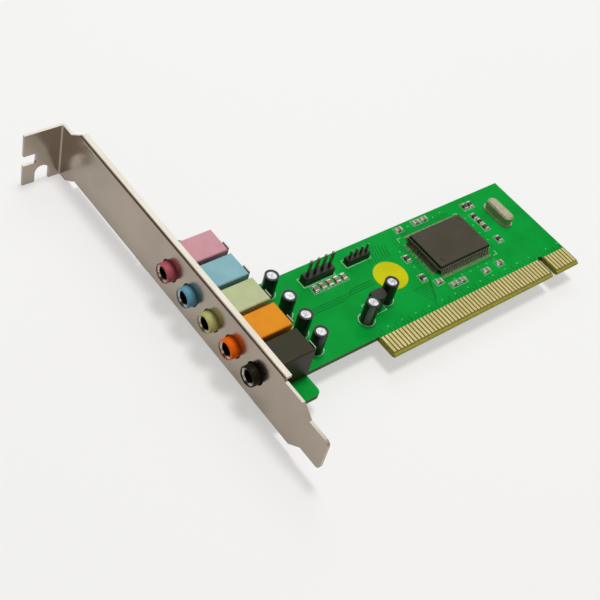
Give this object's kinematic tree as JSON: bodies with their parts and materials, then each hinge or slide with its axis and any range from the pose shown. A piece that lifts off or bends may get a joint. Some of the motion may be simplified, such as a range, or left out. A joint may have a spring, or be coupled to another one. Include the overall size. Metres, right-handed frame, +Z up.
{
  "type": "pci sound card",
  "caption": "Expansion sound card: a green board with a gold contact edge, colour-coded audio jacks, capacitors, pin headers and a sound chip, on a folded steel slot bracket.",
  "frame": {"origin": "middle of the card's underside, level with the lowest edge of the bracket's flange", "axes": "+X from the bracket into the card, +Y from the contact edge towards the bracket's flange, +Z up from the component face"},
  "size_m": [0.1256, 0.12, 0.0212],
  "materials": {
    "bracket_steel": "satin plated sheet steel",
    "screw_steel": "plated",
    "board_green": "green solder mask over glass fibre",
    "contact_gold": "gold flash over copper",
    "jack_black": "moulded",
    "jack_orange": "moulded",
    "jack_green": "moulded",
    "jack_blue": "moulded",
    "jack_pink": "moulded",
    "jack_metal": "nickel plated strip",
    "can_aluminium": "bare can top",
    "sleeve_black": "shrink sleeve",
    "regulator_plastic": "moulded",
    "tinned_lead": "tinned wire",
    "header_plastic": "moulded",
    "header_pin": "plated pins",
    "chip_plastic": "moulded",
    "chip_lead": "tin plated",
    "crystal_metal": "drawn can",
    "sticker_yellow": "satin label",
    "smd_capacitor": "bare ceramic",
    "smd_resistor": "glazed",
    "smd_end": "soldered end cap"
  },
  "bodies": {
    "root": {"audio_header_base": "header_plastic", "audio_header_pins": "header_pin", "back_contacts": "contact_gold", "black_jack_bush": "jack_metal", "black_jack_housing": "jack_black", "black_jack_ring_spring": "jack_metal", "black_jack_tip_spring": "jack_metal", "blue_jack_bush": "jack_metal", "blue_jack_housing": "jack_blue", "blue_jack_ring_spring": "jack_metal", "blue_jack_tip_spring": "jack_metal", "bracket": "bracket_steel", "bracket_screws": "screw_steel", "capacitor_1_can": "can_aluminium", "capacitor_1_sleeve": "sleeve_black", "capacitor_2_can": "can_aluminium", "capacitor_2_sleeve": "sleeve_black", "capacitor_3_can": "can_aluminium", "capacitor_3_sleeve": "sleeve_black", "capacitor_4_can": "can_aluminium", "capacitor_4_sleeve": "sleeve_black", "capacitor_5_can": "can_aluminium", "capacitor_5_sleeve": "sleeve_black", "capacitor_6_can": "can_aluminium", "capacitor_6_sleeve": "sleeve_black", "chip_body": "chip_plastic", "chip_leads": "chip_lead", "circuit_board": "board_green", "crystal_can": "crystal_metal", "crystal_leads": "tinned_lead", "front_contacts": "contact_gold", "green_jack_bush": "jack_metal", "green_jack_housing": "jack_green", "green_jack_ring_spring": "jack_metal", "green_jack_tip_spring": "jack_metal", "orange_jack_bush": "jack_metal", "orange_jack_housing": "jack_orange", "orange_jack_ring_spring": "jack_metal", "orange_jack_tip_spring": "jack_metal", "pink_jack_bush": "jack_metal", "pink_jack_housing": "jack_pink", "pink_jack_ring_spring": "jack_metal", "pink_jack_tip_spring": "jack_metal", "regulator_body": "regulator_plastic", "regulator_leads": "tinned_lead", "small_header_base": "header_plastic", "small_header_pins": "header_pin", "smd_capacitors": "smd_capacitor", "smd_ends": "smd_end", "smd_resistors": "smd_resistor", "sticker": "sticker_yellow"}
  },
  "joints": []
}
